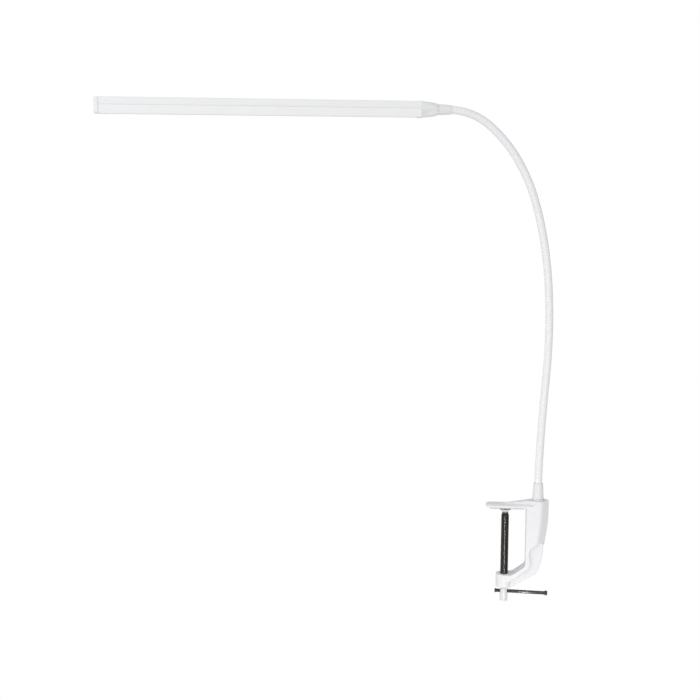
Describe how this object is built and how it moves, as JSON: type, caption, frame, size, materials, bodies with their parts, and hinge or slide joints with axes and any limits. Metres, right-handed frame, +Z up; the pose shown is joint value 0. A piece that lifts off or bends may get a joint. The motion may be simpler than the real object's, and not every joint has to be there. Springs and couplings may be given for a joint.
{
  "type": "gooseneck clamp lamp",
  "caption": "Slim white LED light bar on a flexible gooseneck that swivels in a cast screw clamp for a table edge.",
  "frame": {"origin": "on the clamp screw's axis, in the plane of the tabletop that the jaw pad rests on", "axes": "+Z up along the clamp screw, +X from the jaw's tip to the spine, +Y to the back; the arm reaches towards -X, turned 16.8 degrees towards -Y"},
  "size_m": [0.4335, 0.1455, 0.5158],
  "materials": {
    "powder_coat": "satin",
    "gooseneck_white": "satin",
    "white_aluminium": "satin",
    "opal_plastic": "satin",
    "frosted_plastic": "satin",
    "black_nickel": "polished",
    "white_zinc": "satin",
    "steel": "satin",
    "rubber": "matte",
    "black_plastic": "matte",
    "nylon": "satin",
    "lead": "matte",
    "circuit_board": "matte"
  },
  "bodies": {
    "clamp": {"clamp_casting": "powder_coat", "jaw_pad": "rubber", "power_inlet": "black_plastic", "pin_grub_screw": "steel", "inlet_lead": "lead"},
    "swivel": {"swivel_washer": "nylon", "base_ferrule": "powder_coat", "neck_1": "gooseneck_white", "neck_lead_1": "lead"},
    "link_2": {"neck_2": "gooseneck_white", "neck_lead_2": "lead"},
    "link_3": {"neck_3": "gooseneck_white", "neck_lead_3": "lead"},
    "link_4": {"neck_4": "gooseneck_white", "neck_lead_4": "lead"},
    "link_5": {"neck_5": "gooseneck_white", "neck_lead_5": "lead"},
    "link_6": {"neck_6": "gooseneck_white", "neck_lead_6": "lead"},
    "link_7": {"neck_7": "gooseneck_white", "neck_lead_7": "lead"},
    "link_8": {"neck_8": "gooseneck_white", "neck_lead_8": "lead"},
    "link_9": {"neck_9": "gooseneck_white", "neck_lead_9": "lead"},
    "neck_end": {"neck_10": "gooseneck_white", "neck_lead_10": "lead", "head_ferrule": "powder_coat", "retaining_clip": "steel"},
    "head": {"collar": "frosted_plastic", "pivot_sleeve": "steel", "light_housing": "white_aluminium", "diffuser": "opal_plastic", "end_cap": "frosted_plastic", "led_board": "circuit_board", "head_lead": "lead"},
    "screw_carrier": {"thrust_washer": "steel"},
    "screw": {"clamp_screw": "black_nickel", "screw_head": "white_zinc"},
    "tommy_bar": {"tommy_bar": "black_nickel"},
    "pad": {"swivel_pad": "nylon"}
  },
  "joints": [
    {"name": "base_swivel", "type": "hinge", "parent": "clamp", "child": "swivel", "pos_m": [0.0332, 0, 0.018], "axis": [0, 0, 1], "range_deg": [-170, 170]},
    {"name": "neck_bend_1", "type": "hinge", "parent": "swivel", "child": "link_2", "pos_m": [0.03353, 0.0001, 0.0465], "axis": [0.289, -0.9573, 0], "range_deg": [-30, 15]},
    {"name": "neck_side_2", "type": "hinge", "parent": "link_2", "child": "link_3", "pos_m": [0.0356, 0.00072, 0.09144], "axis": [-0.9555, -0.2885, 0.0611], "range_deg": [-25, 25]},
    {"name": "neck_bend_3", "type": "hinge", "parent": "link_3", "child": "link_4", "pos_m": [0.03861, 0.00163, 0.13633], "axis": [0.289, -0.9573, 0], "range_deg": [-30, 15]},
    {"name": "neck_bend_4", "type": "hinge", "parent": "link_4", "child": "link_5", "pos_m": [0.04049, 0.0022, 0.18128], "axis": [0.289, -0.9573, 0], "range_deg": [-30, 15]},
    {"name": "neck_side_5", "type": "hinge", "parent": "link_5", "child": "link_6", "pos_m": [0.03917, 0.0018, 0.22625], "axis": [-0.955, -0.2883, -0.0698], "range_deg": [-25, 25]},
    {"name": "neck_bend_6", "type": "hinge", "parent": "link_6", "child": "link_7", "pos_m": [0.03392, 0.00022, 0.27089], "axis": [0.289, -0.9573, 0], "range_deg": [-30, 15]},
    {"name": "neck_bend_7", "type": "hinge", "parent": "link_7", "child": "link_8", "pos_m": [0.02369, -0.00287, 0.31457], "axis": [0.289, -0.9573, 0], "range_deg": [-30, 15]},
    {"name": "neck_side_8", "type": "hinge", "parent": "link_8", "child": "link_9", "pos_m": [0.0057, -0.0083, 0.35533], "axis": [-0.8119, -0.2451, -0.5299], "range_deg": [-25, 25]},
    {"name": "neck_bend_9", "type": "hinge", "parent": "link_9", "child": "neck_end", "pos_m": [-0.02258, -0.01684, 0.38901], "axis": [0.289, -0.9573, 0], "range_deg": [-30, 15]},
    {"name": "head_twist", "type": "hinge", "parent": "neck_end", "child": "head", "pos_m": [-0.06228, -0.02883, 0.40411], "axis": [-0.9573, -0.289, 0.0087], "range_deg": [-90, 90]},
    {"name": "screw_feed", "type": "slide", "parent": "clamp", "child": "screw_carrier", "axis": [0, 0, 1], "range_m": [-0.06, 0]},
    {"name": "screw_turn", "type": "hinge", "parent": "screw_carrier", "child": "screw", "pos_m": [0, 0, -0.05], "axis": [0, 0, 1], "range_deg": [-17290, 0]},
    {"name": "tommy_bar_slide", "type": "slide", "parent": "screw", "child": "tommy_bar", "axis": [0.9976, -0.0698, 0], "range_m": [-0.037, 0.003]},
    {"name": "pad_tilt", "type": "hinge", "parent": "screw_carrier", "child": "pad", "pos_m": [0, 0, -0.0035], "axis": [0, 1, 0], "range_deg": [-4, 4]}
  ],
  "couplings": [
    {"joint": "screw_turn", "follows": "screw_feed", "rad_per_m": 5026.5}
  ]
}
